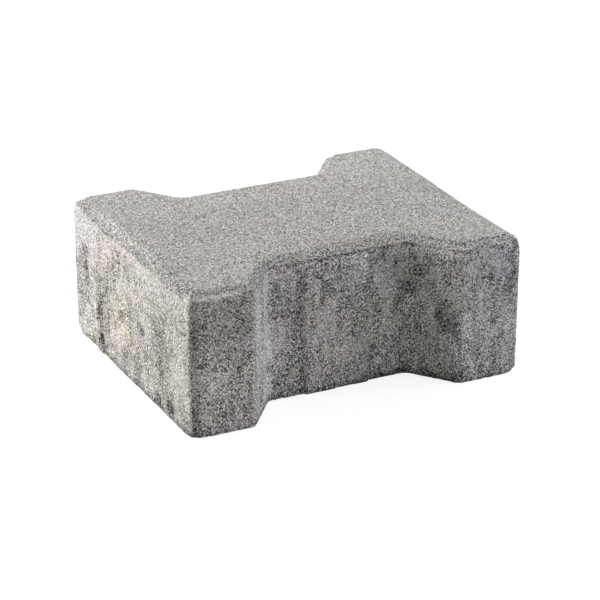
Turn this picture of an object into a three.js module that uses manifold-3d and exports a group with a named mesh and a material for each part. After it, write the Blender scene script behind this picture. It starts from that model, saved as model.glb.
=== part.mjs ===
// Double-T interlocking concrete paving stone, pressed in one piece.
//
// Millimetres, +Z up. The origin is the centre of the underside, +X runs along the length and
// +Y across the two flanges. The outline is an H lying on its side: a flange at each end, and
// between them a narrower waist that takes the flanges of the stones laid beside it. The top
// edge is chamfered all round, and low nibs on the walls keep the joints open. The nibs are
// placed so that the stone looks the same after half a turn about Z.

import * as THREE from 'three';
import Module from 'manifold-3d';

// Plan of the walls, without the nibs
const BODY_LENGTH = 197;
const FLANGE_WIDTH = 165;
const WAIST_WIDTH = 113.5;
const FLANGE_LENGTH = 37; // straight side of a flange, along X
const FLANK_RUN = 19.5; // length along X of the slope between flange and waist
const END_CORNER_RADIUS = 3;
const SHOULDER_RADIUS = 7; // where a flange turns into its flank
const WAIST_RADIUS = 6; // hollow corner where a flank meets the waist

// Section
const BODY_HEIGHT = 82;
const CHAMFER_WIDTH = 5;
const CHAMFER_HEIGHT = 3.5;
const ARRIS_RADIUS = 0.8; // least corner radius left on the top face by the chamfer

// Nibs, low pads on the walls that taper into them at the sides and at the top
const NIB_DEPTH = 1.5;
const NIB_SIDE_SLOPE = 1; // how much wider a nib is at the wall, on each side
const NIB_TOP_TAPER = 4;
const NIB_TOP_GAP = 2; // from the top of a nib to the chamfer
const NIB_ROOT = 2; // how far a nib's solid reaches into the wall it is joined to
const END_NIB_WIDTH = 6;
const END_NIB_OFFSET = 46; // from the middle of the end wall
const WAIST_NIB_WIDTH = 38;
const WAIST_NIB_OFFSET = 1; // from the middle of the waist

const ARC_STEPS = 5; // each corner is drawn with twice as many chords

const wasm = await Module();
wasm.setup();

// The twelve corners of the plan, anticlockwise from the end corner at +X +Y.
function planCorners() {
  const endX = BODY_LENGTH / 2;
  const shoulderX = endX - FLANGE_LENGTH;
  const waistX = shoulderX - FLANK_RUN;
  const quarter = [
    { x: endX, y: FLANGE_WIDTH / 2, radius: END_CORNER_RADIUS },
    { x: shoulderX, y: FLANGE_WIDTH / 2, radius: SHOULDER_RADIUS },
    { x: waistX, y: WAIST_WIDTH / 2, radius: WAIST_RADIUS },
  ];
  const mirrored = [...quarter].reverse();
  return [
    ...quarter,
    ...mirrored.map(({ x, y, radius }) => ({ x: -x, y, radius })),
    ...quarter.map(({ x, y, radius }) => ({ x: -x, y: -y, radius })),
    ...mirrored.map(({ x, y, radius }) => ({ x, y: -y, radius })),
  ];
}

// A corner seen from itself: unit vectors to its neighbours, and whether it turns inwards.
function cornerFrame(corners, index) {
  const count = corners.length;
  const at = new THREE.Vector2(corners[index].x, corners[index].y);
  const before = corners[(index + count - 1) % count];
  const after = corners[(index + 1) % count];
  const toBefore = new THREE.Vector2(before.x, before.y).sub(at).normalize();
  const toAfter = new THREE.Vector2(after.x, after.y).sub(at).normalize();
  const hollow = toBefore.cross(toAfter) > 0;
  const bisector = toBefore.clone().add(toAfter).normalize();
  const halfAngle = Math.acos(THREE.MathUtils.clamp(toBefore.dot(toAfter), -1, 1)) / 2;
  return { at, toBefore, toAfter, hollow, bisector, halfAngle };
}

// The same corners with every wall moved in by a distance, as a chamfer does at its top.
function insetCorners(corners, distance) {
  return corners.map((corner, index) => {
    const { at, hollow, bisector, halfAngle } = cornerFrame(corners, index);
    const inwards = hollow ? -1 : 1;
    const moved = at.addScaledVector(bisector, (inwards * distance) / Math.sin(halfAngle));
    const radius = Math.max(corner.radius - inwards * distance, ARRIS_RADIUS);
    return { x: moved.x, y: moved.y, radius };
  });
}

// A level ring of points at height z: the corners rounded by arcs and joined by straight walls.
function roundedRing(corners, z) {
  const path = new THREE.Path();
  corners.forEach(({ radius }, index) => {
    const { at, toBefore, toAfter, hollow, bisector, halfAngle } = cornerFrame(corners, index);
    const centre = at.clone().addScaledVector(bisector, radius / Math.sin(halfAngle));
    const tangent = radius / Math.tan(halfAngle);
    const start = at.clone().addScaledVector(toBefore, tangent).sub(centre);
    const end = at.clone().addScaledVector(toAfter, tangent).sub(centre);
    path.absarc(centre.x, centre.y, radius, start.angle(), end.angle(), hollow);
  });
  return path.getPoints(ARC_STEPS).map(({ x, y }) => new THREE.Vector3(x, y, z));
}

// A closed solid through level rings of equal length, from the lowest to the highest.
function loft(rings) {
  const size = rings[0].length;
  const vertices = rings.flat().flatMap((point) => [point.x, point.y, point.z]);
  const triangles = [];
  for (let ring = 0; ring + 1 < rings.length; ring += 1) {
    for (let point = 0; point < size; point += 1) {
      const low = ring * size + point;
      const lowNext = ring * size + ((point + 1) % size);
      triangles.push(low, lowNext, lowNext + size, low, lowNext + size, low + size);
    }
  }
  const topStart = (rings.length - 1) * size;
  for (const [a, b, c] of THREE.ShapeUtils.triangulateShape(rings[0], [])) {
    triangles.push(c, b, a);
  }
  for (const [a, b, c] of THREE.ShapeUtils.triangulateShape(rings.at(-1), [])) {
    triangles.push(topStart + a, topStart + b, topStart + c);
  }
  return new wasm.Manifold(
    new wasm.Mesh({
      numProp: 3,
      vertProperties: new Float32Array(vertices),
      triVerts: new Uint32Array(triangles),
    }),
  );
}

// The stone without its nibs: upright walls, then the chamfer.
function body() {
  const walls = planCorners();
  const topFace = insetCorners(walls, CHAMFER_WIDTH);
  return loft([
    roundedRing(walls, 0),
    roundedRing(walls, BODY_HEIGHT - CHAMFER_HEIGHT),
    roundedRing(topFace, BODY_HEIGHT),
  ]);
}

// A nib that stands out along +X from a wall through the origin, and is turned about Z and
// moved to its place on the stone.
function nib(width, turn, x, y) {
  const top = BODY_HEIGHT - CHAMFER_HEIGHT - NIB_TOP_GAP;
  const tip = width / 2;
  const foot = tip + NIB_SIDE_SLOPE * (1 + NIB_ROOT / NIB_DEPTH);
  const toPlace = new THREE.Matrix4().makeRotationZ(turn).setPosition(x, y, 0);
  const ring = (reach, z) =>
    [
      [-NIB_ROOT, -foot],
      [reach, -tip],
      [reach, tip],
      [-NIB_ROOT, foot],
    ].map(([outwards, along]) => new THREE.Vector3(outwards, along, z).applyMatrix4(toPlace));
  return loft([ring(NIB_DEPTH, 0), ring(NIB_DEPTH, top - NIB_TOP_TAPER), ring(-NIB_ROOT / 2, top)]);
}

// A nib on each end wall and a broad one on each side of the waist, in pairs half a turn apart.
function nibs() {
  const endX = BODY_LENGTH / 2;
  const waistY = WAIST_WIDTH / 2;
  return [
    nib(END_NIB_WIDTH, 0, endX, -END_NIB_OFFSET),
    nib(END_NIB_WIDTH, Math.PI, -endX, END_NIB_OFFSET),
    nib(WAIST_NIB_WIDTH, Math.PI / 2, WAIST_NIB_OFFSET, waistY),
    nib(WAIST_NIB_WIDTH, -Math.PI / 2, -WAIST_NIB_OFFSET, -waistY),
  ];
}

function pavingStone() {
  const solid = nibs().reduce((stone, pad) => stone.add(pad), body());
  const { vertProperties, triVerts } = solid.getMesh();
  const geometry = new THREE.BufferGeometry();
  geometry.setAttribute('position', new THREE.BufferAttribute(vertProperties, 3));
  geometry.setIndex(new THREE.BufferAttribute(triVerts, 1));
  geometry.computeVertexNormals();
  const concrete = new THREE.MeshStandardMaterial({
    color: 0x95938f,
    roughness: 0.95,
    metalness: 0,
    flatShading: true,
  });
  const mesh = new THREE.Mesh(geometry, concrete);
  mesh.name = 'paving_stone';
  return mesh;
}

const part = new THREE.Group();
part.add(pavingStone());

export default part;
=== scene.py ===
"""A double-T concrete paving stone, dressed around its CAD solid.

The stone is one mesh: rings of points follow the plan of the walls from the underside to the
top face, which is filled in with a jittered grid. Its relief is worked out here, and the sand
in its surface is left to the material. Sizes are in millimetres up to the point where a mesh,
a lamp or the camera is made.
"""

import itertools
import math

import bpy
import numpy as np
from mathutils import Matrix, Vector
from mathutils.geometry import delaunay_2d_cdt


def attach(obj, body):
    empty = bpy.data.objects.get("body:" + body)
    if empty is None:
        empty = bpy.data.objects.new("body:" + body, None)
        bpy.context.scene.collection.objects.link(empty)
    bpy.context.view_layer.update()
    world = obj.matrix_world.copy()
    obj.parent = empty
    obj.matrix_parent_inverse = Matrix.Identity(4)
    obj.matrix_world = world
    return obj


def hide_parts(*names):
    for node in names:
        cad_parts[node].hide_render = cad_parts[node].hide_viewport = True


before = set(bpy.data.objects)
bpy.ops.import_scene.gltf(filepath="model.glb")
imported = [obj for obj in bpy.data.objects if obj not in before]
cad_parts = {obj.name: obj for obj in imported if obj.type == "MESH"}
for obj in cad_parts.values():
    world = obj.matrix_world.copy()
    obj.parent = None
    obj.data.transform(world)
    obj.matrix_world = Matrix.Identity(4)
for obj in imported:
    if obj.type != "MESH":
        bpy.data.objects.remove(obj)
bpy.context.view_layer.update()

MM = 0.001  # one millimetre in Blender's metres

# Plan and section of the stone, as in its CAD source
BODY_LENGTH = 197
FLANGE_WIDTH = 165
WAIST_WIDTH = 113.5
FLANGE_LENGTH = 37
FLANK_RUN = 19.5
END_CORNER_RADIUS = 3
SHOULDER_RADIUS = 7
WAIST_RADIUS = 6
BODY_HEIGHT = 82
CHAMFER_WIDTH = 5
CHAMFER_HEIGHT = 3.5
ARRIS_RADIUS = 0.8
RIM_ROUNDING = 0.55  # how much rounder than the arris the worn corners of the top face are
NIB_DEPTH = 1.5
NIB_SIDE_SLOPE = 1
NIB_TOP_TAPER = 4
NIB_TOP_GAP = 2
END_NIB_WIDTH = 6
END_NIB_OFFSET = 46
WAIST_NIB_WIDTH = 38
WAIST_NIB_OFFSET = 1

# The chamfer as the press leaves it: inset from the wall and height over the foot, both as
# shares of the chamfer's own. Along the waist and the ends the height rises evenly. On the
# flanges and flanks it rises gently at first, then steeply to a crisp rim.
CHAMFER_INSETS = [0.03, 0.10, 0.26, 0.46, 0.66, 0.79, 0.87, 0.94, 1.02, 1.20]
EVEN_RISE = [0.09, 0.18, 0.31, 0.48, 0.66, 0.78, 0.85, 0.91, 0.96, 1.0]
CRISP_RISE = [0.09, 0.17, 0.27, 0.37, 0.48, 0.56, 0.72, 0.89, 0.98, 1.0]

# Spacing of the mesh
WALL_STEP = 1.05
TOP_STEP = 1.12
TOP_GAP = 0.8 * TOP_STEP  # from the rim to the first points of the grid inside it
BASE_STEP = 3.2
BASE_INSET = 4.5
JITTER = 0.22  # of the points of a grid, as a share of its step
INSIDE_ONLY = 1  # Blender's triangulation: leave out what is outside the border
MERGED_BELOW = 1e-7

FOOT_WAVES = [(0.18, 7, 11), (0.12, 2.5, 12)]  # layers of noise in the foot of the chamfer

SEED = 7
PLATE = "paving_stone"

END_X = BODY_LENGTH / 2
SHOULDER_X = END_X - FLANGE_LENGTH
WAIST_X = SHOULDER_X - FLANK_RUN
FLANGE_Y = FLANGE_WIDTH / 2
WAIST_Y = WAIST_WIDTH / 2
WALL_TOP = BODY_HEIGHT - CHAMFER_HEIGHT
EDGE_BAND = CHAMFER_WIDTH * 1.3  # from a wall to just inside the rim of its chamfer

WALL, CHAMFER, TOP, BASE = range(4)  # the kinds of surface

# The cement's colour, and what a full step towards warm or green changes in it
CEMENT = (0.457, 0.442, 0.424)
WARM_SHIFT = (0.022, 0.0, -0.026)
GREEN_SHIFT = (-0.015, 0.02, -0.012)

# Torn places on the walls: x, y, z, half-width, half-height and strength
TORN_SPOTS = [
    # left end: beside the rib, then towards the corner and along the foot
    (-98.5, 44.5, 24, 2.6, 7, 1.0), (-98.5, 43.5, 9, 2.4, 5, 1.0), (-98.5, 46.0, 50, 2.2, 7, 0.2),
    (-98.5, 65, 42, 4, 7, 0.7), (-98.5, -16, 37, 4, 4, 0.8), (-98.5, -42, 45, 3, 4, 0.5),
    (-98.5, -40, 30, 3, 4, 0.6), (-98.5, -43, 22, 3, 4, 0.7), (-98.5, -21, 24, 4, 4, 0.5),
    (-98.5, -53, 6, 6, 5, 1.5), (-98.5, -37, 5, 5, 4, 0.9), (-98.5, 8, 14, 6, 5, 0.4),
    (-98.5, 11.5, 35, 4, 4, 0.5), (-98.5, 66, 54, 4, 5, 0.6), (-98.5, 52.5, 45, 2.5, 5, 0.6),
    # waist
    (-23.1, -57, 58, 2.2, 10, 0.35), (-23.1, -57, 34, 2.2, 12, 0.4), (-22.8, -57, 8, 2.4, 9, 0.7),
    (3.5, -57, 54, 4, 8, 0.35), (-33, -57, 50, 3, 4, 0.5), (-37, -57, 65, 3, 4, 0.5),
    (19.8, -57, 60, 2.8, 22, 0.5), (22, -57, 16, 4, 6, 0.7),
    # right flank
    (46.4, -62.6, 63, 4, 5, 0.8), (44.1, -59.6, 52, 4, 6, 0.7), (53, -72, 39, 4, 4, 0.9),
    (56, -75, 31, 3, 5, 0.8), (60, -80, 34, 4, 6, 0.7), (51, -69, 56, 3, 3, 0.5),
    # right flange
    (93, -82.5, 54, 3, 5, 0.7), (82.7, -82.5, 36, 3, 5, 0.6),
]

# Smooth pale places where cement closed the wall: x, y, z, half-width, half-height and strength
SMEARED_SPOTS = [
    (-98.5, 29, 68, 5, 7, 0.8), (-98.5, -3, 56, 5, 7, 0.7), (-98.5, 22, 36, 4, 9, 0.8),
    (-98.5, 12, 25, 5, 7, 0.7), (-98.5, 51, 68, 5, 10, 0.8), (-98.5, 53, 30, 4, 24, 0.5),
    (-98.5, 75, 62, 9, 16, 0.9), (78, -82.5, 68, 14, 9, 0.4), (-82, -82.5, 24, 13, 18, 0.35),
    (-4, -57, 58, 5, 16, 0.2), (30, -57, 54, 7, 16, 0.5),
    (-98.5, -66, 30, 14, 22, 0.4),
    (-9, -57, 41, 5, 9, 0.6), (-35, -57, 36, 4, 8, 0.5), (9, -57, 24, 3, 6, 0.5),
    (-67, -82.5, 32, 3, 16, 0.4), (-87, -82.5, 18, 4, 8, 0.4), (80, -82.5, 28, 4, 5, 0.5),
    (88, -82.5, 44, 4, 5, 0.4), (65, -82.5, 36, 2, 20, 0.5), (30, -57, 60, 5, 9, 0.3),
]

# Broad patches of another shade on the walls: the way the wall faces in degrees from -Y towards
# +X, then x, y, z, half-width, half-height, and how much lighter, warmer and greener they are
FLANK_FACING = 53
SHOULDER_FACING = 26
STAINS = [
    # left flange: dark and brownish above, pinkish below, darker beside the corner
    (0, -79.5, -82.5, 66, 26, 12, -0.09, 0.4, 0), (0, -79.5, -82.5, 60, 26, 19, -0.08, 0.4, 0),
    (0, -79.5, -82.5, 17, 26, 34, 0.07, 0.3, -0.6), (0, -79.5, -82.5, 12, 26, 24, 0.06, 0.4, -0.6),
    (0, -96, -82.5, 40, 3, 60, -0.22, 0.3, 0),
    # left flank: bluish, and painted paler as the side that faces the fill lamp, into the corner by
    # the waist; darker at its shoulder
    (FLANK_FACING, -51.7, -69.6, 34, 22, 38, 0.12, -0.5, -0.6),
    (FLANK_FACING, -51.7, -69.6, 16, 22, 22, 0.14, 0, 0),
    (SHOULDER_FACING, -43, -58, 34, 5, 34, 0.05, -0.5, -0.6),
    (SHOULDER_FACING, -60.5, -81, 40, 3.5, 60, -0.12, 0, 0),
    (SHOULDER_FACING, -60.5, -81, 12, 4.5, 22, -0.2, 0, 0),
    # left end: pinkish near the top, yellowish in the middle
    (-90, -98.5, 38, 58, 18, 16, 0.04, 0.3, -0.4), (-90, -98.5, 8, 38, 16, 13, 0.04, 1.2, 0.8),
    (-90, -98.5, 66, 24, 14, 26, 0.05, 0.3, 0.3), (-90, -98.5, 66, 40, 12, 60, 0.06, 0, 0),
    (-90, -98.5, 20, 40, 17, 60, 0.05, 0, 0), (-90, -98.5, -60, 20, 22, 24, -0.07, 0.5, 0),
    (-90, -98.5, -58, 58, 20, 16, 0.03, 0, 0), (-90, -98.5, 75, 66, 11, 20, 0, -1.6, -0.6),
    # waist
    (0, -18, -57, 40, 22, 60, 0.03, 0.1, -0.5), (0, -17, -57, 18, 24, 20, 0.09, 0, 0),
    (0, 5, -57, 57, 14, 17, 0.05, -0.1, -0.1), (0, 24, -57, 42, 9, 11, 0.05, 0.2, 0.1),
    (0, 25, -57, 60, 13, 15, 0.03, -0.2, -0.1), (0, -31, -57, 26, 11, 22, 0.06, 0, 0),
    (0, 11, -57, 20, 9, 18, -0.04, 0, 0), (0, 31, -57, 20, 9, 18, 0.09, 0, 0),
    (0, 39, -57, 58, 4, 12, -0.10, 0, 0.8),
    # right flank, with two dark greenish patches
    (-FLANK_FACING, 52, -70, 40, 22, 60, 0.09, 0, 0.4),
    (-FLANK_FACING, 52, -70, 62, 22, 17, 0.06, 0, 0),
    (-FLANK_FACING, 45, -61, 60, 7, 13, -0.14, -0.4, 1.0),
    (-FLANK_FACING, 56, -75, 37, 6, 10, -0.22, -0.3, 0.6),
    (-FLANK_FACING, 57, -77, 67, 7, 14, 0.14, 0, 0), (-FLANK_FACING, 58, -78, 20, 6, 9, 0.2, 0, 0),
    # right flange, bluish, with a pale line near its shoulder
    (0, 80, -82.5, 40, 26, 60, -0.03, -1.2, -0.5), (0, 80, -82.5, 16, 24, 22, 0.04, 0, 0),
    (0, 65.5, -82.5, 25, 3, 15, 0.22, 0, 0), (0, 89, -82.5, 66, 9, 9, -0.04, -0.8, -0.5),
]

# How far the walls lean out beside an end corner, at the floor, half-way up and at the chamfer
CORNER_LEANS = [
    (98.5, -82.5, (0.0, 0.8, 1.2)), (-98.5, 82.5, (0.4, 0.8, 0.4)),
    (98.5, 82.5, (0.2, 0.4, 0.4)), (-98.5, -82.5, (0.2, 0.2, 0.1)),
]
LEAN_REACH = 14

# ---------------------------------------------------------------- noise

def hashed(cells, seed):
    """A repeatable number from 0 to 1 for each point of an integer lattice."""
    mixed = cells @ np.array([73856093, 19349663, 83492791]) + seed * 2654435761
    mixed = (mixed ^ (mixed >> 15)) * 2246822519 & 0xFFFFFFFF
    mixed = (mixed ^ (mixed >> 13)) * 3266489917 & 0xFFFFFFFF
    return ((mixed ^ (mixed >> 16)) & 0xFFFFFF) / 0xFFFFFF


def noise(points, size, seed):
    """Smooth noise from -1 to 1, with lumps about size across; size may differ by axis."""
    scaled = points / np.asarray(size, float)
    cell = np.floor(scaled).astype(np.int64)
    part = scaled - cell
    ease = part * part * (3 - 2 * part)
    total = np.zeros(len(points))
    for corner in itertools.product((0, 1), repeat=3):
        weight = np.prod(np.where(corner, ease, 1 - ease), axis=1)
        total += weight * hashed(cell + corner, seed)
    return 2 * total - 1


def layered(points, layers):
    """The sum of some layers of noise, each given by its strength, size and seed."""
    return sum(strength * noise(points, size, seed) for strength, size, seed in layers)


def soft(value, low, high):
    """0 below low and 1 above high, with a smooth rise between."""
    part = np.clip((value - low) / (high - low), 0, 1)
    return part * part * (3 - 2 * part)


def bell(value, width):
    """1 at zero, falling off smoothly over a width on both sides."""
    return np.exp(-((value / width) ** 2))


# ---------------------------------------------------------------- plan

def plan_corners():
    """The corners of the walls, anticlockwise from +X +Y: x, y and radius."""
    quarter = [
        (END_X, FLANGE_Y, END_CORNER_RADIUS),
        (SHOULDER_X, FLANGE_Y, SHOULDER_RADIUS),
        (WAIST_X, WAIST_Y, WAIST_RADIUS),
    ]
    corners = list(quarter)
    corners += [(-x, y, r) for x, y, r in reversed(quarter)]
    corners += [(-x, -y, r) for x, y, r in quarter]
    corners += [(x, -y, r) for x, y, r in reversed(quarter)]
    return corners


def corner_frame(corners, index):
    """A corner's place, its directions to both neighbours and whether it turns inwards."""
    at = np.array(corners[index][:2], float)
    before = np.array(corners[index - 1][:2], float) - at
    after = np.array(corners[(index + 1) % len(corners)][:2], float) - at
    before /= np.linalg.norm(before)
    after /= np.linalg.norm(after)
    hollow = before[0] * after[1] - before[1] * after[0] > 0
    return at, before, after, hollow


def inset_corners(distance):
    """The corners of the plan with every wall moved in by a distance."""
    corners = plan_corners()
    moved = []
    for index, (_, _, radius) in enumerate(corners):
        at, before, after, hollow = corner_frame(corners, index)
        inwards = -1 if hollow else 1
        middle = before + after
        middle /= np.linalg.norm(middle)
        half_sine = math.sqrt((1 - before @ after) / 2)
        at = at + middle * inwards * distance / half_sine
        least = ARRIS_RADIUS + RIM_ROUNDING * distance
        moved.append((at[0], at[1], max(radius - inwards * distance, least)))
    return moved


def arc_of(corners, index):
    """Centre, first angle and turn of the arc that rounds a corner."""
    at, before, after, hollow = corner_frame(corners, index)
    radius = corners[index][2]
    middle = before + after
    middle /= np.linalg.norm(middle)
    half = math.acos(np.clip(before @ after, -1, 1)) / 2
    centre = at + middle * radius / math.sin(half)
    start = at + before * radius / math.tan(half) - centre
    turn = (math.pi - 2 * half) * (-1 if hollow else 1)
    return centre, math.atan2(start[1], start[0]), turn


def arc_points(corners, index, steps):
    centre, first, turn = arc_of(corners, index)
    angles = first + turn * np.linspace(0, 1, steps + 1)
    return centre + corners[index][2] * np.column_stack([np.cos(angles), np.sin(angles)])


def step_counts():
    """How many steps each arc and the straight after it take, the same at every height."""
    corners = plan_corners()
    arcs = [arc_points(corners, index, 1) for index in range(len(corners))]
    counts = []
    for index, (_, _, radius) in enumerate(corners):
        turn = arc_of(corners, index)[2]
        straight = np.linalg.norm(arcs[(index + 1) % len(corners)][0] - arcs[index][1])
        counts.append((max(3, math.ceil(abs(turn) * radius / WALL_STEP)),
                       math.ceil(straight / WALL_STEP)))
    return counts


def ring(distance, counts):
    """Points along the plan moved in by a distance, anticlockwise."""
    corners = inset_corners(distance)
    arcs = [arc_points(corners, index, count[0]) for index, count in enumerate(counts)]
    points = []
    for index, (_, straight) in enumerate(counts):
        points.extend(arcs[index])
        start, end = points[-1], arcs[(index + 1) % len(corners)][0]
        points.extend(start + (end - start) * step / straight for step in range(1, straight))
    return np.array(points)


# ---------------------------------------------------------------- mesh

def wall_levels():
    """Heights of the rows on a wall as shares of it, closer together at both edges."""
    low = np.array([0, 0.3, 0.8, 1.5, 2.4])
    high = np.array([3.3, 2.3, 1.5, 0.9, 0.45, 0])
    rows = math.ceil((WALL_TOP - low[-1] - high[0]) / WALL_STEP)
    middle = np.linspace(low[-1], WALL_TOP - high[0], rows + 1)[1:-1]
    return np.concatenate([low, middle, WALL_TOP - high]) / WALL_TOP


def jittered_grid(step, distance, rng):
    """Points of a jittered triangular grid inside the plan moved in by a distance."""
    end, shoulder, waist = inset_corners(distance)[:3]
    ys = np.arange(-FLANGE_Y, FLANGE_Y, step * math.sqrt(3) / 2)
    xs = np.arange(-END_X, END_X, step)
    grid = np.stack(np.meshgrid(xs, ys), -1)
    grid[1::2, :, 0] += step / 2
    points = grid.reshape(-1, 2)
    points += rng.uniform(-JITTER, JITTER, points.shape) * step
    x, y = np.abs(points).T
    inside = (x < end[0]) & (y < np.interp(x, [waist[0], shoulder[0]], [waist[1], shoulder[1]]))
    inside &= x + y < end[0] + end[1] - 0.6 * end[2]  # cuts off the tips of the rounded ends
    return points[inside]


def fill(border, inner):
    """Triangles, anticlockwise, that join a closed border and the points inside it."""
    points = [Vector(p) for p in np.concatenate([border, inner])]
    outline = list(range(len(border)))
    verts, _, faces, _, _, _ = delaunay_2d_cdt(points, [], [outline], INSIDE_ONLY, MERGED_BELOW)
    assert len(verts) == len(points) == len(np.unique(faces))
    return np.array(faces)


def flat(points, z):
    return np.column_stack([points, np.full(len(points), float(z))])


class Stone:
    """The smooth stone: its points, faces and normals, and what kind of surface each is on."""

    def __init__(self):
        self.rng = np.random.default_rng(SEED)
        counts = step_counts()
        walls = ring(0, counts)
        self.count = len(walls)
        gaps = np.linalg.norm(np.roll(walls, -1, 0) - walls, axis=1)
        self.along = np.concatenate([[0], np.cumsum(gaps)[:-1]])
        self.foot = WALL_TOP - foot_drop(walls)  # height of the chamfer's foot along the walls

        rows = [np.column_stack([walls, level * self.foot]) for level in wall_levels()]
        self.wall_rows = len(rows)
        crisp = crispness(walls)
        for inset, even, steep in zip(CHAMFER_INSETS, EVEN_RISE, CRISP_RISE):
            z = self.foot + (BODY_HEIGHT - self.foot) * (even + (steep - even) * crisp)
            rows.append(np.column_stack([ring(CHAMFER_WIDTH * inset, counts), z]))
        rim = rows[-1][:, :2]
        top = jittered_grid(TOP_STEP, CHAMFER_WIDTH * CHAMFER_INSETS[-1] + TOP_GAP, self.rng)
        base = jittered_grid(BASE_STEP, BASE_INSET, self.rng)
        self.points = np.concatenate(rows + [flat(top, BODY_HEIGHT), flat(base, 0)])
        chamfer_rows = len(CHAMFER_INSETS) - 1
        self.kind = np.concatenate([
            np.full(self.wall_rows * self.count, WALL), np.full(chamfer_rows * self.count, CHAMFER),
            np.full(self.count + len(top), TOP), np.full(len(base), BASE)])

        column = np.arange(self.count)
        lows = np.arange(len(rows) - 1)[:, None] * self.count
        low, next_low = lows + column, lows + (column + 1) % self.count
        self.quads = np.stack(
            [low, next_low, next_low + self.count, low + self.count], -1).reshape(-1, 4)
        ringed = len(rows) * self.count
        top_index = np.concatenate([ringed - self.count + column, ringed + np.arange(len(top))])
        base_index = np.concatenate([column, ringed + len(top) + np.arange(len(base))])
        self.triangles = np.concatenate(
            [top_index[fill(rim, top)], base_index[fill(walls, base)][:, ::-1]])
        self.under_foot = np.zeros(len(self.points))  # how far a point lies below the foot
        self.under_foot[:ringed] = np.tile(self.foot, len(rows)) - self.points[:ringed, 2]
        self.normals = self.vertex_normals()

    def vertex_normals(self):
        halves = [self.quads[:, [0, 1, 2]], self.quads[:, [0, 2, 3]], self.triangles]
        faces = np.concatenate(halves)
        a, b, c = (self.points[faces[:, corner]] for corner in range(3))
        normals = np.zeros_like(self.points)
        across = np.cross(b - a, c - a)
        for corner in range(3):
            np.add.at(normals, faces[:, corner], across)
        normals[: self.wall_rows * self.count, 2] = 0  # relief on the walls stays level
        return normals / np.linalg.norm(normals, axis=1)[:, None]


def crispness(walls):
    """How crisp the rim of the chamfer is, along the walls."""
    x, y = np.abs(walls).T
    return soft(y, WAIST_Y + 1, WAIST_Y + 8) * (1 - soft(x, END_X - 2, END_X - 0.5))


def foot_drop(walls):
    """How far the chamfer's foot lies below its nominal height, along the walls."""
    x, y = walls.T
    left, right = soft(-x, END_X - 4, END_X - 1), soft(x, END_X - 4, END_X - 1)
    # on the left end it is lowest towards the back, and again in front of the middle
    at_left = 2.2 * soft(y, 12, 26) * (1 - soft(y, 56, 70))
    rest = 1 - soft(y, 35, 60) + 1.1 * (1 - soft(y, -25, -5)) + 0.8 * bell(y - 8, 14)
    at_left += rest * soft(y, -80, -70)
    at_right = 0.5 + 0.8 * soft(-y, -20, 0) * (1 - soft(-y, 30, 60))
    return layered(flat(walls, 0), FOOT_WAVES) + left * at_left + right * at_right


# ---------------------------------------------------------------- relief

# Layers of noise: strength, size of the lumps and seed. The walls of the ends are squeezed
# first, because their patches are wide and low, like the layers of the fill.
END_SQUEEZE = 0.55
WIDE_PATCHES = [(1, (5, 5, 10), 81)]
FINE_PATCHES = [(0.42, (2.6, 2.6, 5), 82), (0.16, (1.4, 1.4, 2.4), 89), (0.15, (14, 14, 18), 79)]
CLOSED_PATCHES = [(1, 9, 85), (0.5, 4, 86)]
WALL_LUMPS = [(0.14, 17, 41), (0.06, 5.5, 42),
              (0.06, (2.2, 2.2, 3.4), 43), (0.07, (2.4, 2.4, 26), 44)]
TOP_LUMPS = [(0.08, 26, 45), (0.015, 5, 46), (0.012, 2.3, 47)]
UNDERSIDE_LUMPS = [(0.15, 9, 61)]
TORN_LUMPS = [(0.5, (1.8, 1.8, 2.4), 48)]
WALL_SHADES = [(0.10, (5, 5, 34), 83), (0.07, 12, 84)]
TOP_SHADES = [(0.05, 11, 87), (0.03, 4, 88)]
STREAKS = [(1, (2.4, 2.4, 11), 97), (0.4, (1.2, 1.2, 4), 98)]
COMBED_STREAKS = [(1, (1.7, 1.7, 24), 99), (0.5, (4, 4, 30), 100)]
SPOT_EDGES = [(0.35, (2.2, 2.2, 3), 71), (0.25, (5, 5, 7), 72)]
HOLLOW_EDGES = [(0.5, 1.6, 31)]
NIB_EDGES = [(0.5, (4, 4, 6), 21)]
CRUMBLED_DEPTHS = [(0.2, 2.6, 51)]
CRUMBLED_PLACES = [(1, 8, 52)]
CRUMBLED_HEIGHTS = [(0.6, 6, 53)]
BURR_WAVES = [(0.5, 8, 54)]
STAIN_EDGES = [(0.10, 7, 95), (0.05, 2.5, 96)]
WARM_DRIFT = [(0.6, 16, 91), (0.5, 6, 92)]
GREEN_DRIFT = [(0.5, 14, 93), (0.5, 5, 94)]

# Hollows in the walls: how many, then the ranges of their radius, of their depth as a share of
# it and of their height as a share of their width, and how much they gather near the floor
ROUND_HOLLOWS = (1500, (0.8, 2.2), (0.3, 0.7), (0.9, 2.2), 1.3)
SLOTS = (260, (0.6, 1.2), (0.3, 0.5), (3, 10), 1.0)

UNDERSIDE_GAP = 0.15  # from the floor, on average
NIB_WEAR_ABOVE, NIB_WEAR_AT_FLOOR = 0.8, 0.4  # of the nibs on the ends, as shares of their height
BURR_HEIGHT = 0.12  # of the thin ridge that the press left at the foot of the chamfer
BURR_WIDTH = 0.5
STEP_DEPTH = 0.2  # of the wall's top, just under that ridge
FRONT_STEP_DEPTH = 0.5
STEP_BELOW = 1.1
CORNER_REACH = 5  # how far from the edge of an end corner its wear begins
CORNER_WEAR_AT_FOOT = 1.1
CORNER_WEAR_AT_RIM = 0.5
CORNER_WEAR_AT_FLOOR = 2.4

# How open the walls are: the strength of the patches, how far a torn or smeared place shifts
# them, and where on that scale the walls are fully closed and fully open
END_PATCHES, SIDE_PATCHES = 0.45, 0.6
TORN_SHIFT, SMEARED_SHIFT = 0.9, 0.7
CLOSED_AT, OPEN_AT = -0.35, 0.4
TORN_EXTRA = 0.3  # by how much a torn place is more than open
LEFT_END_FINE_PITS = 1.4  # more than elsewhere, but the hollows there are shallower
LEFT_END_HOLLOWS = 0.45

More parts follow.
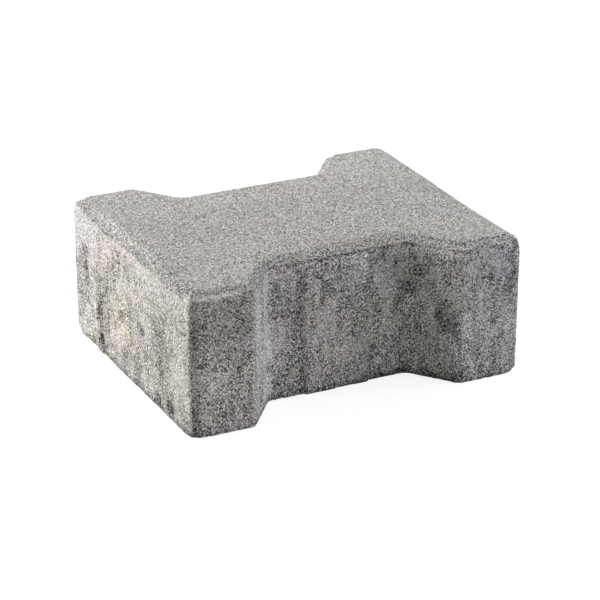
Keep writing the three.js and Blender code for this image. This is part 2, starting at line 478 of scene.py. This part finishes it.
# How strongly the sand shows, and by how much more or less in some places
SAND_ON_TOP = 0.82  # and in the walls where they are closed
SAND_WHERE_OPEN = 0.25
SAND_ON_THE_LEFT = 0.15
SAND_LOST_BEHIND = 0.35
SAND_LOST_ON_RIGHT_END = 0.1
SAND_LOST_WHERE_CLOSED = 0.2

# How much lighter (tone) or darker (shade, darker) some places are than plain concrete, painted
# shade and highlights among them
WALL_TONE = 0.23
TOP_TONE = 0.045
BACK_OF_TOP_TONE = 0.10
SMEARED_TONE = 0.08
BAND_TONE = 0.35  # of the band under the chamfer, right of the waist
# painted highlight along the chamfer's foot, on the left flange
FOOT_HIGHLIGHT = 0.85  # of the pale line at the chamfer's foot, on the left flange
OPEN_SHADE = 0.26
TORN_SHADE = 0.12
LEFT_END_OPEN_SHADE, LEFT_END_TORN_SHADE = 0.10, 0.25  # on top of those two
# painted shadow under the chamfer's foot, stronger at the waist
FOOT_SHADE, WAIST_FOOT_SHADE = 0.12, 0.4  # of the dark line under the chamfer
LEFT_END_FOOT_SHADE = 0.07
STREAK_TONE, LEFT_END_STREAK_TONE = 0.16, 0.04
COMBED_TONE = 0.12
# how much darker the walls are towards the floor, and over what height
DARKER_AT_FLOOR, BACK_DARKER_AT_FLOOR, FRONT_DARKER_AT_FLOOR = 0.72, 0.6, 0.4  # the first on the ends and at the waist
DARKER_AT_FLOOR_HEIGHT = 3.5
RIGHT_FOOT_DARKER = 0.3  # on top of it, from the waist to the right flange
RIGHT_FOOT_DARKER_HEIGHT = 7
# painted shade on the chamfer of the left end, and near the front of its rim
LEFT_END_CHAMFER_SHADE = 0.13
NEAR_RIM_SHADE = 0.27  # of the same chamfer's rim, near the front
# painted shade on the top face along the worn rim of the waist
WORN_RIM_PAINTED_SHADE = 0.15


def nib_height(stone):
    """How far the nibs stand out of the walls, from 0 to 1."""
    x, y, z = stone.points.T
    top = WALL_TOP - NIB_TOP_GAP
    rise = 1 - soft(z, top - NIB_TOP_TAPER, top)
    wobble = layered(stone.points, NIB_EDGES)

    def across(offset, width):
        return 1 - soft(np.abs(offset) + wobble, width / 2, width / 2 + NIB_SIDE_SLOPE)

    height = np.zeros(len(x))
    on_wall = stone.kind == WALL
    for side in (1, -1):
        end = on_wall & (side * x > END_X - 0.5)
        height[end] = across(y + side * END_NIB_OFFSET, END_NIB_WIDTH)[end]
        waist = on_wall & (np.abs(side * y - WAIST_Y) < 0.5) & (np.abs(x) < WAIST_X)
        height[waist] = across(x - side * WAIST_NIB_OFFSET, WAIST_NIB_WIDTH)[waist]
    # the nibs on the ends are worn down above, and a little at the floor
    remains = 1 - NIB_WEAR_ABOVE * soft(z, 18, 45) - NIB_WEAR_AT_FLOOR * bell(z, 3)
    return height * rise * np.where(np.abs(x) > WAIST_X, remains, 1)


def spots(stone, places):
    """A ragged mask over a list of places on the walls, as strong as each place says."""
    p = stone.points
    ragged = layered(p, SPOT_EDGES)
    mask = np.zeros(len(p))
    for x, y, z, wide, tall, strength in places:
        away = np.hypot(p[:, 0] - x, p[:, 1] - y) / wide
        away = away ** 2 + ((p[:, 2] - z) / tall) ** 2
        mask = np.maximum(mask, strength * soft(1.25 - away + ragged, 0, 1.2))
    return np.where(stone.kind == WALL, mask, 0)


def pits(stone, openness, number, radius, depth, stretch, low_bias):
    """Hollows in the open parts of the walls, each drawn out along Z by a stretch."""
    rng = stone.rng
    rows, count = stone.wall_rows, stone.count
    size_of_walls = rows * count
    z_of = stone.points[:size_of_walls, 2].reshape(rows, count)
    openness = openness[:size_of_walls].reshape(rows, count)
    ragged = layered(stone.points[:size_of_walls], HOLLOW_EDGES).reshape(rows, count)
    length = stone.along[-1] + WALL_STEP
    hollow = np.zeros((rows, count))
    for _ in range(number):
        wide = radius[0] + (radius[1] - radius[0]) * rng.random() ** 2
        tall = wide * rng.uniform(*stretch)
        deep = wide * rng.uniform(*depth)
        s = rng.uniform(0, length)
        z = BODY_HEIGHT * rng.random() ** low_bias
        offset = (stone.along - s + length / 2) % length - length / 2
        near = np.flatnonzero(np.abs(offset) < wide * 1.5)
        away = (offset[near] / wide) ** 2 + ((z_of[:, near] - z) / tall) ** 2
        away = away + ragged[:, near]
        cut = deep * np.clip(1 - away, 0, 1) * openness[:, near]
        hollow[:, near] = np.maximum(hollow[:, near], cut)
    result = np.zeros(len(stone.points))
    result[:size_of_walls] = hollow.ravel()
    return result


def corner_wear(stone):
    """How near a point is to the vertical edge of an end corner, from 0 to 1."""
    away = np.hypot(END_X - np.abs(stone.points[:, 0]), FLANGE_Y - np.abs(stone.points[:, 1]))
    return bell(away, CORNER_REACH)


def lean(stone):
    """How far the mould let the walls lean out near each end corner."""
    x, y, z = stone.points.T
    total = np.zeros(len(x))
    for corner_x, corner_y, steps in CORNER_LEANS:
        near = bell(np.hypot(x - corner_x, y - corner_y), LEAN_REACH)
        total += near * np.interp(z, [0, WALL_TOP / 2, WALL_TOP], steps)
    return total * np.abs(stone.normals[:, 0])


def chamfer_rise(stone):
    """0 on the walls and at the chamfer's foot, 1 at its rim. It is 0 on the top face too."""
    return np.clip(-stone.under_foot / CHAMFER_HEIGHT, 0, 1) * (stone.kind == CHAMFER)


class Relief:
    """Height over the smooth stone, and what the material needs to know about each point.

    hollow is the depth of the pits, open says how open the concrete is there, grain how
    strongly its sand shows, streaked how much the mould drew it out, tone how much lighter it
    is than plain concrete, painted light and shade included, and tint is the colour of its cement.
    """

    def __init__(self, stone):
        self.stone = stone
        self.mark_places()
        self.torn = spots(stone, TORN_SPOTS)
        left_end_top = 0.8 * self.left_end * bell(stone.under_foot, 9)
        self.smeared = np.maximum(spots(stone, SMEARED_SPOTS), left_end_top)
        self.openness = self.find_openness()
        fine_pits = self.openness * np.where(self.left_end, LEFT_END_FINE_PITS, 1)
        self.open = np.where(self.wall, fine_pits, 0.05)
        self.grain = self.find_grain()
        self.streaked = self.wall * np.where(self.ends, 0.3, 1)
        self.hollow = self.find_hollows()
        self.height = self.uneven_walls() - self.worn_edges() - self.hollow
        self.tone = self.wall_tone() + self.chamfer_painted_light() + self.top_tone()
        self.tint = tints(stone)

    def mark_places(self):
        """Which points lie on the parts of the stone that have a look of their own."""
        stone = self.stone
        x, y, z = stone.points.T
        self.wall, self.chamfer, self.top = (stone.kind == kind for kind in (WALL, CHAMFER, TOP))
        self.edge = self.wall | self.chamfer
        self.rise = chamfer_rise(stone)
        self.ends = np.abs(x) > END_X - 1
        self.left_end = x < -END_X + EDGE_BAND
        self.left_flange = (x < 0) & (y < -FLANGE_Y + EDGE_BAND)
        self.waist_front = (y < 0) & (np.abs(x) < SHOULDER_X)
        self.right_front = (y < 0) & (x > WAIST_X) & (x < END_X - 1)
        self.squeezed = np.column_stack([x, np.where(self.ends, END_SQUEEZE * y, y), z])

    def find_openness(self):
        """From 0 where cement closed the walls to 1 where they are open, and more if torn."""
        patchy = np.where(self.ends, END_PATCHES, SIDE_PATCHES)
        patchy = patchy * layered(self.squeezed, WIDE_PATCHES)
        patchy += layered(self.squeezed, FINE_PATCHES)
        patchy = patchy + TORN_SHIFT * self.torn - SMEARED_SHIFT * self.smeared
        openness = soft(patchy, CLOSED_AT, OPEN_AT) + TORN_EXTRA * self.torn
        closed_above = 1 - 0.5 * soft(self.stone.points[:, 2], 44, 50)
        return openness * np.where(self.left_flange, closed_above, 1)

    def find_grain(self):
        """How strongly the sand shows: less in smeared and closed places and at the back."""
        stone, wall = self.stone, self.wall
        grain = SAND_ON_TOP + np.where(wall, SAND_WHERE_OPEN * self.openness, 0)
        grain += SAND_ON_THE_LEFT * (wall & (self.left_end | self.left_flange))
        grain -= SAND_LOST_BEHIND * wall * soft(stone.normals[:, 1], 0.2, 0.5)
        grain -= SAND_LOST_ON_RIGHT_END * (stone.points[:, 0] > END_X - 1)
        closed = soft(layered(stone.points, CLOSED_PATCHES), 0.15, 0.7)
        closed = np.where(wall, np.clip(self.smeared, 0, 1), closed)
        return grain - SAND_LOST_WHERE_CLOSED * closed

    def find_hollows(self):
        """Depth of the pits, slots and torn places in the walls."""
        gentle = self.openness * np.where(self.left_end, LEFT_END_HOLLOWS, 1)
        hollow = pits(self.stone, gentle, *ROUND_HOLLOWS)
        hollow = np.maximum(hollow, pits(self.stone, gentle, *SLOTS))
        rough_floor = 0.5 + layered(self.stone.points, TORN_LUMPS)
        return np.maximum(hollow, self.wall * self.torn * (0.25 + 0.9 * rough_floor))

    def uneven_walls(self):
        """Gentle lumps all over, the nibs, and the lean of the walls beside the end corners."""
        p = self.stone.points
        height = np.where(self.wall, layered(p, WALL_LUMPS), layered(p, TOP_LUMPS))
        nibs = nib_height(self.stone)
        return height + NIB_DEPTH * nibs + self.edge * lean(self.stone) * (1 - nibs)

    def worn_edges(self):
        """Depth of what is missing at the floor, under the chamfer and at the end corners."""
        x, y, z = self.stone.points.T
        under = self.stone.under_foot
        at = flat(self.stone.points[:, :2], 0)
        # crumbled lower edge, most of all in front from the middle to the right flange
        crumble = 0.15 + layered(at, CRUMBLED_DEPTHS)
        crumble += 0.4 * soft(layered(at, CRUMBLED_PLACES), 0.2, 0.8)
        crumble += 0.6 * (y < 0) * soft(x, -6, 4) * (1 - soft(x, 56, 66))
        worn = self.wall * crumble * bell(z, 1.5 + layered(at, CRUMBLED_HEIGHTS))
        # thin ridge at the foot of the chamfer, and the step under it
        burr = BURR_HEIGHT * (0.5 + layered(at, BURR_WAVES))
        worn -= self.edge * burr * bell(under, BURR_WIDTH)
        step = np.where(self.waist_front, FRONT_STEP_DEPTH, STEP_DEPTH)
        step = step * (1 - soft(x, SHOULDER_X, SHOULDER_X + 4) * (y < 0))
        step = np.where(self.left_end | self.left_flange, 0, step)
        worn += self.wall * step * bell(under - STEP_BELOW, 0.8)
        # rounded end corners
        corner = CORNER_WEAR_AT_FOOT * bell(under, 2.6) + CORNER_WEAR_AT_RIM * self.rise
        corner += CORNER_WEAR_AT_FLOOR * bell(z, 2.2)
        return worn + self.edge * corner_wear(self.stone) * corner

    def wall_tone(self):
        """How much lighter the walls are than plain concrete, with a painted shadow under the
        chamfer's foot.
        """
        x, y, z = self.stone.points.T
        under = self.stone.under_foot
        left_end, waist_front, right_front = self.left_end, self.waist_front, self.right_front
        tone = WALL_TONE + layered(self.squeezed, WALL_SHADES) - OPEN_SHADE * self.openness
        tone += SMEARED_TONE * self.smeared - TORN_SHADE * self.torn
        tone += left_end * (LEFT_END_OPEN_SHADE * (0.5 - self.openness)
                            - LEFT_END_TORN_SHADE * np.clip(self.torn, 0, 1))
        # a pale band under the chamfer on the right, and a painted shadow under its foot, strongest
        # at the waist
        tone += right_front * bell(under - 3, 3.5) * (BAND_TONE - 0.2 * soft(x, 58, 68))
        shade = np.where(left_end | self.left_flange | right_front, 0, FOOT_SHADE)
        shade = np.where(waist_front, WAIST_FOOT_SHADE, shade)
        tone -= shade * bell(under - 0.9, 0.7) + LEFT_END_FOOT_SHADE * left_end * bell(under, 5)
        # streaks that the mould drew
        streaks = soft(layered(self.squeezed, STREAKS), 0.2, 0.7)
        strength = np.where(left_end, LEFT_END_STREAK_TONE, STREAK_TONE)
        tone += strength * (streaks - 0.2) - 0.04 * left_end
        combed = layered(self.squeezed, COMBED_STREAKS)
        tone += COMBED_TONE * waist_front * soft(z, 25, 60) * combed
        # darker towards the floor
        darker_at_floor = np.where(self.ends | waist_front, DARKER_AT_FLOOR, np.where(y > 0, BACK_DARKER_AT_FLOOR, FRONT_DARKER_AT_FLOOR))
        right_foot = (y < -WAIST_Y + 1) & (x > 10) & (x < SHOULDER_X + 4)
        tone -= (darker_at_floor * bell(z, DARKER_AT_FLOOR_HEIGHT)
                 + RIGHT_FOOT_DARKER * right_foot * bell(z, RIGHT_FOOT_DARKER_HEIGHT))
        return np.where(self.wall, tone, 0)

    def chamfer_painted_light(self):
        """How much lighter the chamfer is painted than plain concrete: shade and highlights for how
        light falls on its facets, and a highlight along its foot on the left flange.
        """
        x, y, _ = self.stone.points.T
        rise, left_end = self.rise, self.left_end
        # in front, left of the middle, painted shade half-way up and a painted highlight at its rim
        left_front = soft(-x, 22, 40) * (y < 0) * (1 - left_end)
        facet_shading = 0.16 * bell(rise - 0.45, 0.2) - 0.06 - 0.10 * soft(rise, 0.55, 0.8)
        shade = 0.02 + left_front * facet_shading
        shade -= 0.02 * self.waist_front * (1 - soft(rise, 0.2, 0.7))
        # painted shade on the chamfer over the left flank, most near its rim
        left_flank = soft(-x, 38, 44) * (1 - soft(-x, 60, 66)) * (y < 0)
        shade += left_flank * (0.17 + 0.10 * bell(rise - 0.85, 0.25))
        # on the left end painted shade makes it as dark as the top face, near the front up to its
        # rim
        near = left_end * soft(-y, 22, 48)
        shade += LEFT_END_CHAMFER_SHADE * left_end - 0.06 * near
        shade = np.where(self.chamfer & (rise < 0.955), shade, 0)
        shade += NEAR_RIM_SHADE * near * soft(rise, 0.5, 0.95)
        # a painted highlight along the chamfer's foot on the left flange
        foot_highlight = FOOT_HIGHLIGHT * bell(self.stone.under_foot, 0.8) * (1 - soft(x, -74, -64))
        return self.edge * self.left_flange * foot_highlight - shade

    def top_tone(self):
        """The same for the top face, which is lighter towards the back and has painted shade along
        the worn rim of the waist.
        """
        p = self.stone.points
        x, y, _ = p.T
        tone = TOP_TONE + layered(p, TOP_SHADES) + BACK_OF_TOP_TONE * soft(y, 5, 60)
        tone += 0.05 * bell(x + 25, 30) * soft(y, 0, 40)
        # the press wore the rim of the waist back, most of all towards the right, and the shade of
        # that worn slope is painted on the top face
        to_right = soft(x, -25, 10)
        inside = y + WAIST_Y - CHAMFER_WIDTH
        worn = 1 - soft(inside - 1.5 - 3 * to_right, -0.6, 0.6)
        worn *= soft(WAIST_X - np.abs(x), -1, 4)
        tone -= (WORN_RIM_PAINTED_SHADE + 0.1 * to_right) * worn
        return np.where(self.top, tone, 0)


def tints(stone):
    """The colour of the cement, which drifts a little between warm, greenish and lilac."""
    p = stone.points
    lightness = np.ones(len(p))
    warm, green, ragged = (layered(p, each) for each in (WARM_DRIFT, GREEN_DRIFT, STAIN_EDGES))
    # the top face turns greyer towards its far and right sides
    above = (stone.kind == TOP) | (stone.kind == CHAMFER)
    to_right, to_back = soft(p[:, 0], 10, 85), soft(p[:, 1], 10, 85)
    to_key = soft(-stone.normals[:, 0], 0.15, 0.5)
    warm -= np.where(above, 0.6 * to_right + 0.5 * to_back + 0.6 * to_key, 0)
    green += np.where(stone.kind == TOP, 0.5 * to_right * (1 - to_back), 0)
    for facing, x, y, z, wide, tall, lighter, warmer, greener in STAINS:
        away = np.maximum(np.hypot(p[:, 0] - x, p[:, 1] - y) / wide, np.abs(p[:, 2] - z) / tall)
        facing = math.radians(facing)
        turned = stone.normals @ np.array([math.sin(facing), -math.cos(facing), 0])
        share = (1 - soft(away + ragged, 0.82, 1.18)) * soft(turned, 0.72, 0.95)
        lightness += share * lighter
        warm += share * warmer
        green += share * greener
    shift = warm[:, None] * np.array(WARM_SHIFT) + green[:, None] * np.array(GREEN_SHIFT)
    return np.array(CEMENT) * (1 + shift) * lightness[:, None]


def stone_mesh():
    stone = Stone()
    relief = Relief(stone)
    points = stone.points + stone.normals * relief.height[:, None]
    base = stone.kind == BASE
    points[base, 2] = UNDERSIDE_GAP + layered(stone.points[base], UNDERSIDE_LUMPS)
    points[: stone.count, 2] = 0
    points[:, 2] = np.minimum(points[:, 2], BODY_HEIGHT)
    mesh = bpy.data.meshes.new("paving_stone_concrete")
    faces = stone.quads.tolist() + stone.triangles.tolist()
    mesh.from_pydata((points * MM).tolist(), [], faces)
    mesh.shade_smooth()
    fields = {"hollow": relief.hollow, "grain": relief.grain, "tone": relief.tone,
              "open": relief.open, "streaked": relief.streaked}
    for name, values in fields.items():
        attribute = mesh.attributes.new(name, "FLOAT", "POINT")
        attribute.data.foreach_set("value", values.astype(np.float32))
    tint = mesh.attributes.new("tint", "FLOAT_VECTOR", "POINT")
    tint.data.foreach_set("vector", relief.tint.astype(np.float32).ravel())
    return mesh


# ---------------------------------------------------------------- material

class Graph:
    """Short names for the few nodes that the concrete is made of. Sizes are in millimetres."""

    def __init__(self, name):
        self.material = bpy.data.materials.new(name)
        self.material.use_nodes = True
        self.nodes = self.material.node_tree.nodes
        self.links = self.material.node_tree.links
        self.nodes.clear()
        self.place = self.nodes.new("ShaderNodeTexCoord").outputs["Object"]

    def plug(self, value, socket):
        if isinstance(value, bpy.types.NodeSocket):
            self.links.new(value, socket)
        else:
            socket.default_value = value

    def math(self, operation, *values):
        node = self.nodes.new("ShaderNodeMath")
        node.operation = operation
        for value, socket in zip(values, node.inputs):
            self.plug(value, socket)
        return node.outputs[0]

    def attribute(self, name):
        node = self.nodes.new("ShaderNodeAttribute")
        node.attribute_name = name
        return node.outputs["Fac"]

    def cells(self, size, shift=0.0):
        """Distance to the middle of each cell, and three random numbers for it."""
        node = self.nodes.new("ShaderNodeTexVoronoi")
        node.inputs["Scale"].default_value = 1 / (size * MM)
        moved = self.nodes.new("ShaderNodeVectorMath")
        moved.inputs[1].default_value = (shift, shift, shift)
        self.links.new(self.place, moved.inputs[0])
        self.links.new(moved.outputs[0], node.inputs["Vector"])
        split = self.nodes.new("ShaderNodeSeparateColor")
        self.links.new(node.outputs["Color"], split.inputs[0])
        return node.outputs["Distance"], split.outputs

    def noise(self, size, detail=2.0, stretch=1.0):
        node = self.nodes.new("ShaderNodeTexNoise")
        node.inputs["Scale"].default_value = 1 / (size * MM)
        node.inputs["Detail"].default_value = detail
        squeeze = self.nodes.new("ShaderNodeVectorMath")
        squeeze.operation = "MULTIPLY"
        squeeze.inputs[1].default_value = (1, 1, 1 / stretch)
        self.links.new(self.place, squeeze.inputs[0])
        self.links.new(squeeze.outputs[0], node.inputs["Vector"])
        return node.outputs["Fac"]

    def ramp(self, value, stops):
        node = self.nodes.new("ShaderNodeValToRGB")
        elements = node.color_ramp.elements
        while len(elements) < len(stops):
            elements.new(0.5)
        for element, (position, level) in zip(elements, stops):
            element.position = position
            element.color = (level, level, level, 1)
        self.links.new(value, node.inputs[0])
        return node.outputs[0]


# How light the grains of sand are against the cement, by the share of the grains that are
# darker still. The darkest stand for the painted shade in the gaps between grains.
SAND = [(0, 0.02), (0.18, 0.08), (0.3, 0.5), (0.55, 0.95), (0.8, 1.3), (0.9, 2.0), (1, 2.4)]
SAND_RANGE = 2.5
SAND_MEAN = 0.88
SAND_CONTRAST = 1.25
GRAIN_SIZE = 0.45
# painted shade in the gaps between the coarser grains
GAP_SIZE = 0.92  # from middle to middle of the coarser grains, with a dark gap around each
GAP_SHIFT = 3.1
GAP_SHADE = 1.8
GAP_MEAN = 0.485

# Streaks down the walls: their width in millimetres, detail, stretch and strength
STREAK_SIZE, STREAK_DETAIL, STREAK_STRETCH, STREAK_STRENGTH = 1.9, 2.0, 12.0, 0.5

# Fine pits in the open parts of the walls: size and shift of their cells, radius and chance
PITS = [(0.8, 5.7, 0.42, 0.32), (1.4, 8.3, 0.40, 0.24), (2.6, 1.9, 0.32, 0.10)]
PIT_LEAST, PIT_SPREAD = 0.6, 0.5  # least radius and range above it, as shares of the one listed
PIT_RIM = 4.4  # how quickly a pit's rim sinks, for a millimetre of its cell's size

# painted shade inside the fine pits, and in the hollows by their depth
PIT_SHADE = 0.7
HOLLOW_SHADE = 0.3  # for a millimetre of depth
DARKEST_HOLLOW = 0.45
DARKEST, LIGHTEST = 0.04, 2.2

# Bump, in millimetres: how domed a grain is, how grains differ in height, and a pit's depth
GRAIN_DOME, GRAIN_STEP, PIT_DEPTH = 0.18, 0.14, 0.4
ROUGHNESS = 0.95
SPECULAR = 0.25


def pit_mask(graph, open_, size, shift, radius, chance):
    """1 inside the pits of one size, with a soft rim, and 0 elsewhere."""
    away, pit = graph.cells(size, shift)
    here = graph.math("LESS_THAN", pit[1], graph.math("MULTIPLY", open_, chance))
    reach = graph.math("MULTIPLY_ADD", pit[0], radius * PIT_SPREAD, radius * PIT_LEAST)
    inside = graph.math("MULTIPLY", graph.math("SUBTRACT", reach, away), PIT_RIM * size)
    inside = graph.math("MINIMUM", graph.math("MAXIMUM", inside, 0.0), 1.0)
    return graph.math("MULTIPLY", inside, here)


def concrete_material():
    """Cement with sand, fine pits and streaks, shaded by what the relief says of each point,
    with painted shade in its pits, hollows and the gaps between grains.
    """
    graph = Graph("pressed_concrete")
    math_node = graph.math
    grain, hollow, tone = map(graph.attribute, ("grain", "hollow", "tone"))
    open_, streaked = map(graph.attribute, ("open", "streaked"))

    # sand: each grain has its own lightness, with painted shade in the gaps between and a few white
    # grains
    sand_away, sand = graph.cells(GRAIN_SIZE)
    stops = [(share, lightness / SAND_RANGE) for share, lightness in SAND]
    level = graph.ramp(sand[0], stops)
    level = math_node("MULTIPLY_ADD", level, SAND_RANGE, -SAND_MEAN)
    level = math_node("MULTIPLY", level, SAND_CONTRAST)
    gap_away, _ = graph.cells(GAP_SIZE, GAP_SHIFT)
    level = math_node("MULTIPLY_ADD", math_node("SUBTRACT", GAP_MEAN, gap_away), GAP_SHADE, level)
    level = math_node("MULTIPLY", level, grain)

    # streaks and the tone of the place
    streak = math_node("SUBTRACT", graph.noise(STREAK_SIZE, STREAK_DETAIL, STREAK_STRETCH), 0.5)
    streak = math_node("MULTIPLY", streak, streaked)
    level = math_node("MULTIPLY_ADD", streak, STREAK_STRENGTH, level)
    level = math_node("ADD", level, tone)
    level = math_node("ADD", level, 1.0)

    # painted shade in the pits and hollows, the hollows darker the deeper they are
    in_pits = 0.0
    for pit in PITS:
        in_pits = math_node("MAXIMUM", pit_mask(graph, open_, *pit), in_pits)
    level = math_node("MULTIPLY", level, math_node("MULTIPLY_ADD", in_pits, -PIT_SHADE, 1.0))
    in_hollows = math_node("MULTIPLY_ADD", hollow, -HOLLOW_SHADE, 1.0)
    level = math_node("MULTIPLY", level, math_node("MAXIMUM", in_hollows, DARKEST_HOLLOW))
    level = math_node("MINIMUM", math_node("MAXIMUM", level, DARKEST), LIGHTEST)

    tint = graph.nodes.new("ShaderNodeAttribute")
    tint.attribute_name = "tint"
    colour = graph.nodes.new("ShaderNodeVectorMath")
    colour.operation = "SCALE"
    graph.links.new(tint.outputs["Vector"], colour.inputs[0])
    graph.links.new(level, colour.inputs["Scale"])

    lumps = math_node("MULTIPLY", sand[1], GRAIN_STEP)
    lumps = math_node("MULTIPLY_ADD", sand_away, -GRAIN_DOME, lumps)
    lumps = math_node("MULTIPLY", lumps, grain)
    lumps = math_node("MULTIPLY_ADD", in_pits, -PIT_DEPTH, lumps)
    bump = graph.nodes.new("ShaderNodeBump")
    bump.inputs["Strength"].default_value = 1.0
    bump.inputs["Distance"].default_value = MM
    graph.links.new(lumps, bump.inputs["Height"])
    shader = graph.nodes.new("ShaderNodeBsdfPrincipled")
    shader.inputs["Roughness"].default_value = ROUGHNESS
    shader.inputs["Specular IOR Level"].default_value = SPECULAR
    graph.links.new(colour.outputs[0], shader.inputs["Base Color"])
    graph.links.new(bump.outputs[0], shader.inputs["Normal"])
    output = graph.nodes.new("ShaderNodeOutputMaterial")
    graph.links.new(shader.outputs[0], output.inputs["Surface"])
    return graph.material


# ---------------------------------------------------------------- floor, lamps and camera

FLOOR_SIZE = 6.0
FLOOR_LIT = 0.35  # how much light the floor gives back
FLOOR_GLOW = 0.81  # what the camera sees on top of that, which keeps the floor nearly white
WORLD_LIGHT = 0.43

# Name, azimuth, elevation, width and height in metres, power and colour of each lamp
LAMPS = [
    ("key", -138, 12, (1.4, 0.8), 28.5, (1, 0.97, 0.925)),
    ("fill", 60, 12, (0.8, 0.8), 6.5, (0.92, 0.95, 1)),
    ("side", 90, 38, (0.8, 0.8), 4, (0.95, 0.97, 1)),
]
LAMP_DISTANCE = 1.2


def make_floor():
    half = FLOOR_SIZE / 2
    mesh = bpy.data.meshes.new("floor")
    mesh.from_pydata([(-half, -half, 0), (half, -half, 0), (half, half, 0), (-half, half, 0)],
                     [], [(0, 1, 2, 3)])
    floor = bpy.data.objects.new("floor", mesh)
    bpy.context.collection.objects.link(floor)
    material = bpy.data.materials.new("pale_floor")
    material.use_nodes = True
    nodes, links = material.node_tree.nodes, material.node_tree.links
    nodes.clear()
    path = nodes.new("ShaderNodeLightPath")
    lit = nodes.new("ShaderNodeBsdfDiffuse")
    lit.inputs["Color"].default_value = (FLOOR_LIT, FLOOR_LIT, FLOOR_LIT, 1)
    glow = nodes.new("ShaderNodeEmission")
    strength = nodes.new("ShaderNodeMath")
    strength.operation = "MULTIPLY"
    strength.inputs[1].default_value = FLOOR_GLOW
    links.new(path.outputs["Is Camera Ray"], strength.inputs[0])
    links.new(strength.outputs[0], glow.inputs["Strength"])
    both = nodes.new("ShaderNodeAddShader")
    output = nodes.new("ShaderNodeOutputMaterial")
    links.new(lit.outputs[0], both.inputs[0])
    links.new(glow.outputs[0], both.inputs[1])
    links.new(both.outputs[0], output.inputs["Surface"])
    mesh.materials.append(material)


def make_world():
    """White where the camera sees it, and dimmer as a light."""
    world = bpy.data.worlds.new("studio")
    bpy.context.scene.world = world
    world.use_nodes = True
    nodes, links = world.node_tree.nodes, world.node_tree.links
    background = nodes["Background"]
    background.inputs["Color"].default_value = (1, 1, 1, 1)
    path = nodes.new("ShaderNodeLightPath")
    seen = nodes.new("ShaderNodeMath")
    seen.operation = "MULTIPLY_ADD"
    seen.inputs[1].default_value = 1 - WORLD_LIGHT
    seen.inputs[2].default_value = WORLD_LIGHT
    links.new(path.outputs["Is Camera Ray"], seen.inputs[0])
    links.new(seen.outputs[0], background.inputs["Strength"])


def make_lamp(name, azimuth, elevation, size, power, colour):
    """A soft lamp that faces the stone. Azimuth 0 is in front, 90 is on the +X side."""
    light = bpy.data.lights.new(name, "AREA")
    light.shape = "RECTANGLE"
    light.size, light.size_y = size
    light.energy = power
    light.color = colour
    made = bpy.data.objects.new(name, light)
    a, e = math.radians(azimuth), math.radians(elevation)
    back = Vector((math.sin(a) * math.cos(e), -math.cos(a) * math.cos(e), math.sin(e)))
    made.location = back * LAMP_DISTANCE + Vector((0, 0, BODY_HEIGHT / 2 * MM))
    made.rotation_euler = back.to_track_quat("Z", "Y").to_euler()
    bpy.context.collection.objects.link(made)


# The camera, fitted to the stone's outline and edges in a picture 600 pixels square
PICTURE_SIDE = 600
CAMERA_FOCAL_PIXELS = 2622.77
CAMERA_AZIMUTH = 25.54
CAMERA_ELEVATION = 22.96
CAMERA_ROLL = -0.36
CAMERA_DISTANCE = 1489.84
CAMERA_SIDE_STEP = 3.92
CAMERA_RISE = 28.05
SENSOR = 36
CLIP_START, CLIP_END = 0.05, 20  # in metres


def make_camera():
    data = bpy.data.cameras.new("camera")
    data.sensor_width = SENSOR
    data.lens = CAMERA_FOCAL_PIXELS / PICTURE_SIDE * SENSOR
    data.clip_start, data.clip_end = CLIP_START, CLIP_END
    camera = bpy.data.objects.new("camera", data)
    azimuth, elevation, roll = map(
        math.radians, (CAMERA_AZIMUTH, CAMERA_ELEVATION, CAMERA_ROLL))
    forward = Vector((math.sin(azimuth) * math.cos(elevation),
                      math.cos(azimuth) * math.cos(elevation), -math.sin(elevation)))
    right = Vector((math.cos(azimuth), -math.sin(azimuth), 0))
    down = -right.cross(forward)
    turned_right = math.cos(roll) * right - math.sin(roll) * down
    turned_down = math.sin(roll) * right + math.cos(roll) * down
    place = -forward * CAMERA_DISTANCE + turned_right * CAMERA_SIDE_STEP - turned_down * CAMERA_RISE
    rotation = Matrix((turned_right, -turned_down, -forward)).transposed()
    camera.matrix_world = Matrix.Translation(place * MM) @ rotation.to_4x4()
    bpy.context.collection.objects.link(camera)
    bpy.context.scene.camera = camera


# ---------------------------------------------------------------- scene

stone = bpy.data.objects.new("paving_stone_concrete", stone_mesh())
bpy.context.collection.objects.link(stone)
stone.data.materials.append(concrete_material())
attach(stone, "root")
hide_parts(PLATE)

make_floor()
make_world()
for lamp in LAMPS:
    make_lamp(*lamp)
make_camera()
bpy.context.scene.view_settings.view_transform = "Standard"
